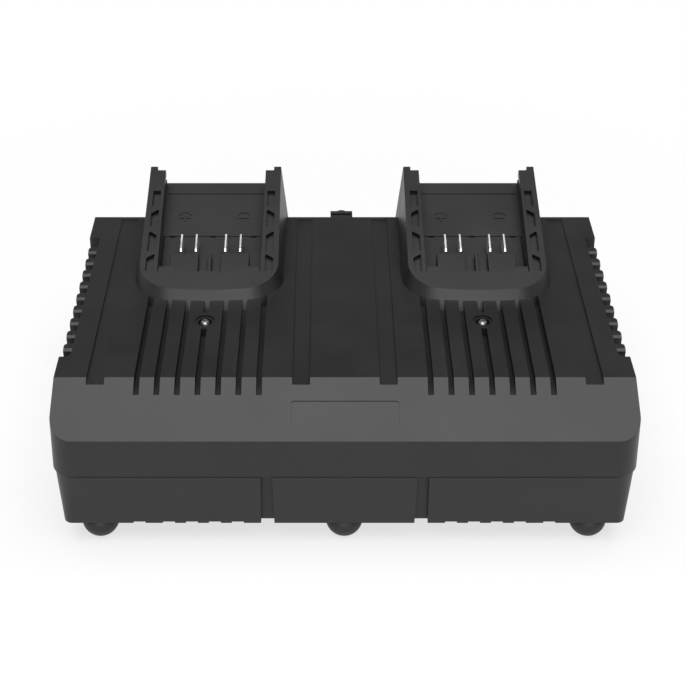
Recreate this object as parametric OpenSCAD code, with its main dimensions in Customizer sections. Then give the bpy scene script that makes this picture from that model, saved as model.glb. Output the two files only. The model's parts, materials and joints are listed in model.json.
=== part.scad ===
// Two-bay charger for slide-on tool battery packs.
// X runs across the charger, Y from its front to its rear, and Z up.
// The origin lies on the bench, under the middle of the charger's box.

/* [Housing] */
// Width of the flat top beside each dock
side_w = 35.4; // [34:0.2:46]
// Forward run of the sloping face
slope_run = 30.8; // [28:0.2:36]
// Drop of the sloping face
slope_drop = 17.8; // [14:0.2:20]
// Height of the upright front under the slope
brow_h = 22.5; // [20:0.5:32]
// Height of the lower housing
tray_h = 33; // [30:0.5:44]
// Backward run of the bevel along the rear edge of the top
rear_run = 10; // [8:0.5:12]
// Drop of that bevel
rear_drop = 9; // [8:0.5:12]
// Shadow gap between the two housings
seam_gap = 1; // [0.6:0.1:1.6]
// Step inwards from the upper to the lower housing
seam_step = 0.8; // [0.4:0.1:1.4]
// Wall thickness of both housings
wall = 3; // [2.6:0.1:3.6]
// Plan radius of the front corners
front_r = 12; // [8:0.5:16]
// Plan radius of the front corners at the bottom of the lower housing
tray_r = 4.5; // [4:0.5:8]
// Plan radius of the rear corners
rear_r = 4; // [3.8:0.2:8]
// Draft of the upper housing, in degrees
upper_draft = 1.8; // [1:0.1:2.6]
// Taper of the lower housing, in degrees
tray_taper = 4.2; // [2:0.1:5]

/* [Top grooves and strips] */
// Distance of each groove field and dock from the middle
bay_x = 75.6; // [73:0.1:82]
// Grooves in each field
groove_n = 7; // [5:2:7]
// Spacing of the grooves
groove_pitch = 10.5; // [9.6:0.1:10.8]
// Width of a groove
groove_w = 3; // [2:0.1:4]
// Depth of a groove
groove_deep = 5; // [3:0.1:6]
// Depth of the four flat strips
strip_deep = 2.1; // [1:0.1:3]
// Width of a flat strip
strip_w = 9.3; // [6:0.1:12]
// Distance of the inner strips from the middle
inner_strip_x = 22.5; // [20:0.5:26]
// Distance of the outer strips from the sides of the top
outer_strip_in = 21.5; // [19:0.5:24]
// Distance of the strips' rear ends from the rear edge of the top
strip_rear_in = 3; // [2:0.5:6]
// Width of the shallow label recess on the slope
label_w = 55.2; // [40:0.2:70]
// Length of the label recess down the slope
label_h = 13.2; // [8:0.2:16]
// Distance from the top edge down the slope to the label recess
label_down = 13.2; // [9:0.2:15]
// Depth of the label recess
label_deep = 0.5; // [0.3:0.1:1]

/* [Docks] */
// Distance of the dock's front edge behind the top's front edge
dock_y = 75.7; // [73:0.1:80]
// Height of the dock's front edge above the top
dock_z = 5.2; // [4.6:0.1:8]
// Rise of the dock towards the rear, in degrees
dock_tilt = 14.8; // [12:0.1:16]
// Width of each arm of a dock
arm_w = 10; // [9.6:0.1:12]
// Length of the arms, measured along the tilted rim
dock_len = 100.8; // [96:0.2:112]
// Reach of the arms behind the top's rear edge
dock_over = 6.5; // [5:0.1:8]
// Width of the channel between the arms
channel_w = 58; // [56:0.5:60]
// Widening of the channel on each side, from the bar to the arms' tips
channel_flare = 0.9; // [0:0.1:1.2]
// Depth of the channel below the rim
channel_deep = 11.5; // [10:0.1:13]
// Length of the solid bar in front of the channel
bar_len = 14.4; // [13:0.1:17]
// Radius of the rim's front corners
dock_r = 20; // [14:0.5:24]
// Radius of the bowed front edge of the rim
bow_r = 180; // [100:5:260]
// Spread of the dock's skirt, from the rim down to the top
skirt_out = 3.1; // [2:0.1:4]
// Depth of the cored pockets in the arms
pocket_deep = 2.6; // [1.5:0.1:3]
// Width of the cored pockets
pocket_w = 4.5; // [3:0.1:5]
// Distance of the pockets from the arm's outer edge
pocket_in = 3.1; // [2.5:0.1:3.4]
// Thickness of the rail flange at the top of each arm
flange_t = 4; // [3.6:0.1:5]
// Height of the rail slot under the flange
rail_h = 3.8; // [3:0.1:4]
// Depth of the rail slot into the arm
rail_in = 3.2; // [2:0.1:3.4]
// Thickness of the dock's floor
floor_t = 3; // [2.4:0.1:4]

/* [Terminal blocks] */
// Length of the block behind the blades, up to the floor's seam
block_tail = 7.5; // [6:0.1:9]
// Thickness of the flange under the dock floor
block_flange = 3; // [2:0.1:4]
// Distance of the raised plates below the rim
plate_drop = 0.8; // [0.4:0.1:2]
// Rear edge of the raised plates along the dock
plate_end = 29.4; // [26:0.1:33]
// Rear edge of the low strip beside each plate
plate_foot_end = 19; // [18:0.1:22]
// Inner edge of the raised plates
plate_in = 6.4; // [5:0.1:7]
// Outer edge of the raised plates
plate_out = 22.4; // [20:0.1:26]
// Distance of the middle step below the rim
mid_drop = 4.8; // [3:0.1:7]
// Half width of the rib between the plates
rib_half = 1; // [0.6:0.1:2]
// Running gap round the block
block_gap = 0.35; // [0.2:0.05:0.4]
// Distance of the inner blades from the dock's middle
blade_in_x = 8.4; // [7:0.1:9.5]
// Distance of the outer blades from the dock's middle
blade_out_x = 16.9; // [15:0.1:19]
// Thickness of a contact blade
blade_t = 1.2; // [0.8:0.1:1.4]
// Length of a contact blade
blade_len = 14.3; // [12:0.1:15]
// Distance of the blades' tops below the rim
blade_drop = 1.2; // [0.8:0.1:4]
// Distance of the blades behind the raised plates
blade_back = 2.5; // [2:0.1:4]

/* [Side vents] */
// Ribs in each vent
vent_n = 9; // [7:1:9]
// Spacing of the ribs
vent_pitch = 12.5; // [12:0.1:12.6]
// Front face of the first rib behind the top's front edge
vent_first = 24.6; // [24:0.1:26]
// Length of a rib from front to rear
vent_rib = 6.1; // [5:0.1:6.6]
// Forward run of the bright bevel on each rib
vent_bevel = 1.6; // [1:0.1:2.2]
// Front end of the vent recess behind the top's front edge
vent_start = 18.6; // [17:0.1:20]
// Rear end of the vent recess behind the top's front edge
vent_end = 141.7; // [140:0.1:143]
// Depth of the recess into the side
vent_in = 6; // [5:0.1:6.6]
// Height of the recess
vent_h = 16; // [13:0.5:18]
// Set-back of the ribs from the side
vent_back = 1.15; // [0.6:0.05:1.8]

/* [Lower housing] */
// Distance of the two front channels from the middle
slot_x = 40.4; // [38:0.1:44]
// Width of a front channel at its top
slot_top_w = 6; // [4:0.1:8]
// Width of a front channel at its bottom
slot_low_w = 7; // [5:0.1:9]
// Depth of a front channel
slot_deep = 3.6; // [2:0.1:4]
// Width of the shallow grooves in the underside
under_w = 6.3; // [5:0.1:8]
// Depth of the grooves in the underside
under_deep = 1; // [0.5:0.1:1.4]
// Length of the grooves in the underside
under_len = 40; // [20:1:44]

/* [Feet] */
// Height of the feet
foot_h = 14; // [8:0.5:16]
// Radius of the feet
foot_r = 9.9; // [8:0.1:10.2]
// Distance of the outer feet from the sides of the bottom
foot_side = 18; // [16:0.5:22]
// Distance of the front feet behind the bottom's front edge
foot_front = 10.2; // [10:0.1:13]
// Distance of the rear feet in front of the bottom's rear edge
foot_rear = 18; // [16:0.5:20]
// Radius of the foot's stem
foot_stem_r = 3; // [2:0.1:4]

/* [Cord gland] */
// Reach of the gland behind the rear edge of the top
gland_reach = 42; // [38:0.5:60]
// Depth of the gland's axis below the top
gland_down = 24; // [22:0.5:28]
// Radius of the cord's bore
gland_bore_r = 3.6; // [2.5:0.1:4]
// Radius of the gland's core at the wall
gland_r = 6.4; // [6:0.1:7]
// Radius of the gland's core at its nose
gland_nose_r = 5.35; // [5:0.05:5.9]
// Width of the gland's square ribs
gland_rib_w = 13.8; // [13:0.1:16]

/* [Electronics] */
// Distance of the main board from the sides of the top
board_side = 38; // [34:1:44]
// Reach of the main board behind the docks' front edge
board_tail = 65.1; // [60:0.1:70]
// Thickness of the main board
board_t = 1.6; // [1.2:0.1:2.4]
// Height of the stand-offs under the main board
standoff_h = 8.5; // [8:0.5:12]
// Height of the transformers
core_h = 30; // [20:1:32]
// Height of the heat sinks
sink_h = 28; // [20:1:30]
// Height of the mains capacitors
bulk_h = 34; // [25:1:36]
// Side of the square fan frame
fan_w = 50; // [40:1:60]
// Thickness of the fan
fan_t = 15; // [15:1:17]
// Blades on the fan
fan_n = 7; // [5:1:9]
// Radius of the fan's shaft
shaft_r = 1.5; // [1:0.1:2]

/* [Fasteners] */
// Radius of the bosses for the two screws in the top
boss_r = 7.85; // [7.4:0.05:9]
// Radius of the dish round each of those screws
dish_r = 5.25; // [4.8:0.05:6]
// Radius of the deep hole for the screw's head
sink_r = 3.9; // [3.5:0.1:4.4]
// Radius of the heads of the two top screws
top_head_r = 2.7; // [2.4:0.1:3.2]
// Radius of the case screws' shanks
screw_r = 1.5; // [1.2:0.1:1.8]
// Radius of the small screws' shanks
small_r = 1.2; // [0.9:0.1:1.3]

/* [Hidden] */

$fn = 48;
// Overrun of every cut past the face that it opens
over = 0.5;
// Thickness of the slices that a tapered block is drawn between
slice = 0.01;
// Flat faces that only look down on each other stay this far apart
touch = 0.1;

// Size of the flat top, worked out from the docks that stand on it
dock_w = channel_w + 2 * arm_w;
top_w = 2 * (bay_x + side_w) + dock_w;
top_d = dock_y + dock_len * cos(dock_tilt) - dock_over;

// Levels and edges of the housings
tray_z = foot_h;
seam_z = tray_z + tray_h;
brow_z = seam_z + seam_gap;
slope_z = brow_z + brow_h;
top_z = slope_z + slope_drop;
upper_h = top_z - brow_z;
slope_a = atan(slope_drop / slope_run);
bevel_a = atan(rear_drop / rear_run);
draft_grow = upper_h * tan(upper_draft);
brow_grow = brow_h * tan(upper_draft);
front_reach = slope_run + brow_grow;
// The flat top's front edge, which the rest of the top is measured from
edge_y = (front_reach - top_d - gland_reach) / 2;
rear_y = edge_y + top_d;
front_y = edge_y - front_reach;
back_y = rear_y + rear_run + draft_grow;
half_w = top_w / 2 + draft_grow;
taper_in = tray_h * tan(tray_taper);
tray_half = half_w - seam_step - taper_in;
tray_front = front_y + seam_step + taper_in;
tray_back = back_y - seam_step - taper_in;
floor_z = tray_z + wall;

// Inside radii of the housings
inner_front_r = front_r - wall;
inner_tray_r = tray_r - wall;
inner_rear_r = rear_r - wall;

// Lip of the lower housing that closes the shadow gap from within
lip_gap = 0.3;
lip_t = 1.6;
lip_up = 3;
lip_down = 6;

// Walls round the grooves, strips and vents
trough_t = 2.5;
label_r = 1.5;
vent_r = 4.5;
vent_rib_r = 2.2;
vent_slot_w = 3.4;
vent_slot_h = 9;
vent_slot_up = 2.5;

// Terminal block and blades along the dock
blade_start = plate_end + blade_back;
block_end = blade_start + blade_len + block_tail;

// Outline of the dock's rim
dock_half = dock_w / 2;
channel_half = channel_w / 2;
corner_w = dock_half - dock_r;
corner_l = bow_r - sqrt(pow(bow_r - dock_r, 2) - pow(corner_w, 2));
bow_a = asin(corner_w / (bow_r - dock_r));
bow_steps = 4;
corner_steps = 10;
side_steps = 3;
// Depth of the skirt's root, which runs on down past the floor of the grooves
skirt_root = rear_drop + over;
arm_step = 3.1;
arm_outer_w = 4.2;
sill_start = 88.9;
sill_groove = 0.6;
sign_l = 69.1;
sign_x = 17.3;
sign_r = 4.1;
sign_bar = 2.9;
sign_bar_w = 0.9;
sign_deep = 0.5;
pocket_1_end = 27.5;
pocket_2_start = 30.1;
pocket_2_end = 45.7;
pocket_3_start = 50.1;
pocket_3_end = 63.6;
pocket_4_start = 66.8;
pocket_4_end = 79.9;
// Pockets of one arm: start and end along the dock, and which rear corner is cut
// off: 1 for the outer, -1 for the inner and 0 for none
pockets = [[bar_len, pocket_1_end, 1], [pocket_2_start, pocket_2_end, -1],
    [pocket_3_start, pocket_3_end, 1], [pocket_4_start, pocket_4_end, 0]];

// Screws in the top and the pillars that they reach
top_screw_back = 53;
top_screw_y = edge_y + top_screw_back;
dish_deep = 1.2;
sink_deep = 5.4;
boss_low = 10;
top_head_h = 2.2;
top_screw_len = 14;
pillar_r = 5;
pillar_hole_r = screw_r + touch;
pillar_hole = 12;

function sides() = [-1, 1];

// A block between two levels that narrows upwards, with round corners in plan. The
// radius of its front corners is r_front at the top and r_low at the bottom.
module tapered_block(low, high, half, front, rear, taper, r_front, r_rear, r_low) {
    hull()
        for (z = [low, high - slice])
            for (s = sides()) {
                in = (z - low) * tan(taper);
                r = z == low ? r_low : r_front;
                translate([s * (half - in - r), front + in + r, z])
                    cylinder(r = r, h = slice);
                translate([s * (half - in - r_rear), rear - in - r_rear, z])
                    cylinder(r = r_rear, h = slice);
            }
}

// The space above the sloping face and the rear bevel, moved inwards by inset
module above_slopes(inset) {
    reach = slope_run + top_d;
    translate([0, edge_y, top_z]) rotate([slope_a, 0, 0])
        translate([-half_w - over, -reach, -inset])
            cube([2 * (half_w + over), 2 * reach, reach]);
    translate([0, rear_y, top_z]) rotate([-bevel_a, 0, 0])
        translate([-half_w - over, -reach, -inset])
            cube([2 * (half_w + over), 2 * reach, reach]);
}

// A profile in Y and Z, drawn out along X and centred on x
module across(x, w) {
    translate([x - w / 2, 0, 0]) rotate([90, 0, 90]) linear_extrude(w) children();
}

// Wall that wraps a groove or strip from below, from the slope to rear
module trough(x, w, deep, to_bevel) {
    low = deep + trough_t;
    mid = wall / 2;
    fore = [for (d = [mid, low]) edge_y - (d - mid / cos(slope_a)) / tan(slope_a)];
    aft = [for (d = [mid, low]) to_bevel
        ? rear_y + (d - mid / cos(bevel_a)) / tan(bevel_a)
        : edge_y + dock_y + wall];
    across(x, w + 2 * trough_t)
        polygon([[fore[0], top_z - mid], [fore[1], top_z - low],
            [aft[1], top_z - low], [aft[0], top_z - mid]]);
}

groove_half = (groove_n - 1) / 2;
outer_strip_x = top_w / 2 - outer_strip_in;
function groove_xs() = [for (s = sides(), i = [-groove_half:groove_half])
    s * bay_x + i * groove_pitch];
function strip_xs() = [for (s = sides(), x = [inner_strip_x, outer_strip_x]) s * x];

// Point (l, n) of the dock's own plane in the charger's frame, as Y and Z
function dock_at(l, n) = [edge_y + dock_y + l * cos(dock_tilt) - n * sin(dock_tilt),
    top_z + dock_z + l * sin(dock_tilt) + n * cos(dock_tilt)];

// Half of the rim's outline: place across and along the dock, then outward direction
function half_rim() = concat(
    [for (i = [0:bow_steps]) let (a = bow_a * i / bow_steps)
        [bow_r * sin(a), bow_r * (1 - cos(a)), sin(a), -cos(a)]],
    [for (i = [1:corner_steps]) let (a = bow_a + (90 - bow_a) * i / corner_steps)
        [corner_w + dock_r * sin(a), corner_l - dock_r * cos(a), sin(a), -cos(a)]],
    [for (i = [1:side_steps])
        [dock_half, corner_l + (dock_len - corner_l) * i / side_steps, 1, 0]]);

// Rear face of a tower at height g above the top, from the arms' tips to the wall
tip = dock_at(dock_len, 0);
foot_back = rear_y + rear_run - touch;
function tower_back(g) = foot_back
    + (tip[0] - foot_back) * (g + rear_drop) / (tip[1] - top_z + rear_drop);

// A rim point p carried down its skirt to height g above the top
function skirt_point(p, g) =
    let (h = dock_z + p[1] * sin(dock_tilt),
        out = skirt_out * (h - g) / h,
        y = edge_y + dock_y + p[1] * cos(dock_tilt))
    [p[0] + p[2] * out, p[1] > dock_len - slice ? tower_back(g) : y + p[3] * out, top_z + g];

// The ring of points at the rim, or at the root in the wall
function skirt_half(at_rim) = [for (p = half_rim())
    skirt_point(p, at_rim ? dock_z + p[1] * sin(dock_tilt) : -skirt_root)];
function skirt_ring(at_rim) = let (half = skirt_half(at_rim), m = len(half))
    concat(half, [for (i = [m - 1:-1:1]) [-half[i][0], half[i][1], half[i][2]]]);

// The solid tower of a dock: its tilted rim, and a skirt that spreads down to its root
module tower() {
    n = len(skirt_ring(true));
    polyhedron(
        points = concat(skirt_ring(true), skirt_ring(false)),
        faces = concat(
            [[for (i = [n - 1:-1:0]) i]],
            [for (i = [0:n - 1], t = [0, 1])
                let (a = i, b = (i + 1) % n)
                t == 0 ? [a, b, b + n] : [a, b + n, a + n]],
            [[for (i = [0:n - 1]) n + i]]),
        convexity = 4);
}

// Puts children in a dock's frame: X across, Y up the tilted rim, Z out of the rim
module at_dock(side) {
    translate([side * bay_x, edge_y + dock_y, top_z + dock_z])
        rotate([dock_tilt, 0, 0]) children();
}

// Lowest level of the terminal block, and the hollow that it stands in
block_low = channel_deep + floor_t + block_flange;
core_half = dock_half - wall;
core_start = bar_len - wall - over;

// Hollow under a dock's floor, open to the inside of the housing
module dock_core() {
    n = -channel_deep - floor_t;
    fore = dock_at(core_start, n);
    back_l = dock_len - wall + n * tan(dock_tilt) / cos(dock_tilt);
    aft = dock_at(back_l, n);
    low = top_z - skirt_root - over;
    across(0, 2 * core_half)
        polygon([fore, aft, [aft[0], low], [fore[0], low]]);
}

// Outline of one cored pocket in the outer arm at positive X
pocket_slant_share = 0.6;
pocket_flat_share = 0.2;
module pocket(start, end, cut) {
    out = dock_half - pocket_in;
    in = out - pocket_w;
    slant = pocket_w * pocket_slant_share;
    flat = pocket_w * pocket_flat_share;
    polygon(concat([[in, start], [out, start]],
        cut == 1 ? [[out, end - slant], [in + flat, end], [in, end]]
        : cut == -1 ? [[out, end], [out - flat, end], [in, end - slant]]
        : [[out, end], [in, end]]));
}

// Everything that is cut out of a dock from above, in the dock's frame
module dock_cuts() {
    translate([0, 0, -channel_deep]) linear_extrude(channel_deep + over)
        for (s = sides())
            polygon([[0, bar_len], [s * channel_half, bar_len],
                [s * (channel_half + channel_flare), dock_len],
                [s * (channel_half + channel_flare), dock_len + bar_len],
                [0, dock_len + bar_len]]);
    step_half = dock_half - arm_outer_w;
    translate([-step_half, dock_len - arm_step, -channel_deep])
        cube([2 * step_half, dock_len, channel_deep + over]);
    rail_half = channel_half + rail_in;
    translate([-rail_half, plate_end, -flange_t - rail_h])
        cube([2 * rail_half, dock_len, rail_h]);
    translate([-channel_half, bar_len, -channel_deep - floor_t - over])
        cube([channel_w, block_end - bar_len, floor_t + 2 * over]);
    translate([-channel_half, sill_start, -channel_deep - sill_groove])
        cube([channel_w, sill_groove, sill_groove + over]);
    for (s = sides()) {
        for (p = pockets)
            translate([0, 0, -pocket_deep]) mirror([s < 0 ? 1 : 0, 0, 0])
                linear_extrude(pocket_deep + over) pocket(p[0], p[1], p[2]);
        translate([s * sign_x, sign_l, -channel_deep - sign_deep]) difference() {
            cylinder(r = sign_r, h = sign_deep + over);
            translate([-sign_bar, -sign_bar_w / 2, -over])
                cube([2 * sign_bar, sign_bar_w, sign_deep + over]);
            if (s < 0)
                translate([-sign_bar_w / 2, -sign_bar, -over])
                    cube([sign_bar_w, 2 * sign_bar, sign_deep + over]);
        }
        translate([s * block_screw_x, block_screw_l, -channel_deep - floor_t - over])
            cylinder(r = small_r + touch, h = block_pilot + over);
    }
}

// Screws that hold the terminal blocks up against the dock floors
block_screw_in = 4.2;
block_screw_x = core_half - block_screw_in;
block_screw_l = (bar_len + block_end) / 2;
block_pilot = 5;
small_head_r = 2 * small_r;
small_head_h = 1.4;

// Side vents: the recess, its ribs and the slots through its back
vent_x = top_w / 2 - vent_in;
vent_z = top_z - vent_h;
liner_t = 2.5;

// Recess of the vent at positive X, with a round corner at its front
module vent_recess() {
    translate([vent_x, edge_y + vent_start + vent_r, vent_z])
        cube([vent_in + draft_grow + over, vent_end - vent_start - vent_r, vent_h + over]);
    translate([vent_x + vent_r, edge_y + vent_start, vent_z])
        cube([vent_in + draft_grow + over - vent_r, vent_r + over, vent_h + over]);
    translate([vent_x + vent_r, edge_y + vent_start + vent_r, vent_z])
        cylinder(r = vent_r, h = vent_h + over);
}

// One rib: upright, with a bevelled front edge and a round outer rear corner
module vent_rib_at(i) {
    out = top_w / 2 - vent_back;
    len_x = out - vent_x + liner_t / 2;
    drop = vent_bevel * tan(slope_a);
    y = edge_y + vent_first + i * vent_pitch;
    intersection() {
        across(out - len_x / 2, len_x)
            polygon([[y, vent_z - over], [y, top_z - drop], [y + vent_bevel, top_z],
                [y + vent_rib, top_z], [y + vent_rib, vent_z - over]]);
        translate([0, 0, vent_z - over]) linear_extrude(vent_h + 2 * over) union() {
            translate([out - len_x, y]) square([len_x, vent_rib - vent_rib_r]);
            translate([out - len_x, y]) square([len_x - vent_rib_r, vent_rib]);
            translate([out - vent_rib_r, y + vent_rib - vent_rib_r]) circle(r = vent_rib_r);
        }
    }
}

// Slots through the back of the recess, between the ribs
module vent_slots() {
    gap = vent_pitch - vent_rib;
    for (i = [0:vent_n - 2])
        translate([vent_x - liner_t - over,
            edge_y + vent_first + i * vent_pitch + vent_rib + (gap - vent_slot_w) / 2,
            vent_z + vent_slot_up])
            cube([liner_t + 2 * over, vent_slot_w, vent_slot_h]);
}

// Underside height of the upper housing's pillars at y, inside its wall
function roof_z(y, r) = top_z - wall / 2
    - max(0, edge_y - y + r) * tan(slope_a);

// Case screws, driven from below, at positive X: [x, y]
case_r = 4.5;
case_side_in = 12;
case_side_back = 4;
case_rear_in = 20;
case_rear_fore = 28.6;
case_mid_x = 24;
case_mid_fore = 18;
case_screws = [[top_w / 2 - case_side_in, edge_y + case_side_back],
    [top_w / 2 - case_rear_in, rear_y - case_rear_fore],
    [case_mid_x, edge_y - case_mid_fore]];
case_under = 11;
case_seat = tray_h - case_under;
case_pilot = 11;
case_bore_r = 4;
case_head_r = 3;
case_head_h = 2.1;

// Fan, with its axis along X behind the right-hand vent
fan_x = vent_x - liner_t - over - fan_t;
fan_y = edge_y + (vent_start + vent_end) / 2;
fan_gap = 0.9;
fan_top = top_z - skirt_root - fan_gap;
fan_pad_share = 0.5;
fan_z = fan_top - fan_w / 2;
fan_seat = fan_top - fan_w - floor_z;

gland_z = top_z - gland_down;
gland_neck_in = 1;
gland_neck_r = gland_r - gland_neck_in;
function back_at(z) = back_y - (z - brow_z) * tan(upper_draft);

// Shell of the upper housing with its grooves, strips, vents and bosses
module top_shell() {
    cavity_half = half_w - wall + over * tan(upper_draft);
    difference() {
        union() {
            difference() {
                tapered_block(brow_z, top_z, half_w, front_y, back_y, upper_draft,
                    front_r, rear_r, front_r);
                above_slopes(0);
                difference() {
                    tapered_block(brow_z - over, top_z - wall, cavity_half,
                        front_y + wall, back_y - wall, upper_draft,
                        inner_front_r, inner_rear_r, inner_front_r);
                    above_slopes(wall);
                }
            }
            for (x = groove_xs()) trough(x, groove_w, groove_deep, false);
            for (x = strip_xs()) trough(x, strip_w, strip_deep, true);
            for (s = sides()) mirror([s < 0 ? 1 : 0, 0, 0]) {
                translate([vent_x - liner_t, edge_y + vent_start - liner_t,
                    vent_z - liner_t])
                    cube([vent_in + liner_t - wall / 2,
                        vent_end - vent_start + 2 * liner_t,
                        vent_h + liner_t - wall / 2]);
                for (c = case_screws)
                    translate([c[0], c[1], brow_z])
                        cylinder(r = case_r, h = roof_z(c[1], case_r) - brow_z);
            }
            pad_t = fan_t * fan_pad_share;
            pad_w = fan_w * fan_pad_share;
            translate([fan_x + (fan_t - pad_t) / 2, fan_y - pad_w / 2, fan_top + touch])
                cube([pad_t, pad_w, top_z - wall / 2 - fan_top - touch]);
        }
        for (x = groove_xs())
            translate([x - groove_w / 2, front_y, top_z - groove_deep])
                cube([groove_w, edge_y + dock_y + corner_l * cos(dock_tilt) - front_y,
                    groove_deep + over]);
        for (x = strip_xs())
            translate([x - strip_w / 2, front_y, top_z - strip_deep])
                cube([strip_w, rear_y - strip_rear_in - front_y, strip_deep + over]);
        translate([0, edge_y, top_z]) rotate([slope_a, 0, 0])
            translate([0, -label_down - label_h / 2, -label_deep])
                linear_extrude(label_deep + over) union() {
                    square([label_w, label_h - 2 * label_r], center = true);
                    square([label_w - 2 * label_r, label_h], center = true);
                    for (a = sides(), b = sides())
                        translate([a * (label_w / 2 - label_r), b * (label_h / 2 - label_r)])
                            circle(r = label_r);
                }
        for (s = sides()) mirror([s < 0 ? 1 : 0, 0, 0]) {
            difference() {
                vent_recess();
                for (i = [0:vent_n - 1]) vent_rib_at(i);
            }
            vent_slots();
            for (c = case_screws)
                translate([c[0], c[1], brow_z - over])
                    cylinder(r = screw_r + touch, h = case_pilot + over);
        }
        key_half = gland_neck_r + touch;
        translate([-key_half, back_y - 2 * wall, gland_z - key_half])
            cube([2 * key_half, 3 * wall, 2 * key_half]);
    }
}

module upper_housing() color("#2b2b2c") difference() {
    union() {
        top_shell();
        for (s = sides()) {
            translate([s * bay_x, 0, 0]) tower();
            translate([s * bay_x, top_screw_y, top_z - boss_low])
                cylinder(r = boss_r, h = boss_low);
        }
    }
    for (s = sides()) {
        at_dock(s) dock_cuts();
        translate([s * bay_x, 0, 0]) dock_core();
        translate([s * bay_x, top_screw_y, top_z]) {
            translate([0, 0, -dish_deep]) cylinder(r = dish_r, h = dish_deep + over);
            translate([0, 0, -sink_deep]) cylinder(r = sink_r, h = sink_deep + over);
            translate([0, 0, -boss_low - over])
                cylinder(r = screw_r + 2 * touch, h = boss_low + over);
        }
    }
}
upper_housing();

// Underside of the lower housing and the places that stand on its floor
under_first = 56.2;
under_n = 4;
under_pitch = 12.1;
under_last_in = 42;
board_z = floor_z + standoff_h;
board_top = board_z + board_t;
board_back = 8;
board_y = edge_y + board_back;
board_w = top_w - 2 * board_side;
board_d = dock_y + board_tail - board_back;
board_edge = 6;
stand_r = 3.2;
function board_spots() = [for (s = sides(), y = [board_y + board_edge,
    board_y + board_d - board_edge]) [s * (board_w / 2 - board_edge), y]];
pillar_z = top_z - boss_low - touch;
cradle_t = 2.4;
cradle_up = 6;

// A straight-sided block for the inner lip, at a distance in from the upper housing
module lip_block(in, low, high)
    tapered_block(low, high, half_w - in, front_y + in, back_y - in, upper_draft,
        front_r - in, rear_r / 2, front_r - in);

module front_channel(x)
    translate([x, tray_front, tray_z]) rotate([tray_taper, 0, 0])
        translate([0, slot_deep, 0]) rotate([90, 0, 0])
            linear_extrude(slot_deep + over)
                polygon([[-slot_low_w / 2, -over], [slot_low_w / 2, -over],
                    [slot_top_w / 2, tray_h + over], [-slot_top_w / 2, tray_h + over]]);

module channel_wall(x) {
    w = slot_low_w + 2 * trough_t;
    translate([x - w / 2, tray_front, tray_z]) rotate([tray_taper, 0, 0])
        translate([0, wall / 2, wall / 2])
            cube([w, slot_deep + trough_t - wall / 2, tray_h - wall]);
}

// Where the feet stand: left to right in front, then at the rear
foot_x = tray_half - foot_side;
foot_front_y = tray_front + foot_front;
foot_rear_y = tray_back - foot_rear;
function foot_spots() = [for (y = [foot_front_y, foot_rear_y], i = [-1:1]) [i * foot_x, y]];

module lower_housing() color("#262627") difference() {
    cavity_in = wall - wall * tan(tray_taper);
    union() {
        difference() {
            tapered_block(tray_z, seam_z, tray_half, tray_front, tray_back, -tray_taper,
                front_r, rear_r, tray_r);
            tapered_block(floor_z, seam_z + over, tray_half - cavity_in,
                tray_front + cavity_in, tray_back - cavity_in, -tray_taper,
                inner_front_r, inner_rear_r, inner_tray_r);
        }
        difference() {
            lip_block(wall + lip_gap, seam_z - lip_down, brow_z + lip_up);
            lip_block(wall + lip_gap + lip_t, seam_z - lip_down - over,
                brow_z + lip_up + over);
        }
        for (s = sides()) {
            channel_wall(s * slot_x);
            translate([s * bay_x, top_screw_y, tray_z])
                cylinder(r = pillar_r, h = pillar_z - tray_z);
            for (c = case_screws)
                translate([s * c[0], c[1], tray_z])
                    cylinder(r = case_r + over, h = brow_z - touch - tray_z);
        }
        for (p = board_spots())
            translate([p[0], p[1], tray_z]) cylinder(r = stand_r, h = board_z - tray_z);
        difference() {
            translate([fan_x - cradle_t, fan_y - fan_w / 2 - cradle_t, tray_z])
                cube([fan_t + 2 * cradle_t, fan_w + 2 * cradle_t,
                    wall + fan_seat + cradle_up]);
            translate([fan_x - touch, fan_y - fan_w / 2 - touch, floor_z + fan_seat])
                cube([fan_t + 2 * touch, fan_w + 2 * touch, cradle_up + over]);
        }
    }
    for (s = sides()) {
        front_channel(s * slot_x);
        for (x = concat([for (i = [0:under_n - 1]) under_first + i * under_pitch],
            [top_w / 2 - under_last_in]))
            translate([s * x - under_w / 2, tray_front - over, tray_z - over])
                cube([under_w, under_len + over, under_deep + over]);
        translate([s * bay_x, top_screw_y, pillar_z - pillar_hole])
            cylinder(r = pillar_hole_r, h = pillar_hole + over);
        for (c = case_screws) translate([s * c[0], c[1], tray_z]) {
            translate([0, 0, -over]) cylinder(r = case_bore_r, h = case_seat + over);
            cylinder(r = screw_r + 2 * touch, h = brow_z - tray_z + over);
        }
    }
    for (p = board_spots())
        translate([p[0], p[1], floor_z])
            cylinder(r = small_r + touch, h = standoff_h + over);
    for (p = foot_spots())
        translate([p[0], p[1], tray_z - over])
            cylinder(r = foot_stem_r + touch, h = wall + 2 * over);
}
lower_housing();

// Notches in a terminal block's rear edge, and the slots that its blades pass through
notch_x = 23.7;
notch_w = 2.8;
notch_in = 0.8;
blade_slot_fore = 1.2;

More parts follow.
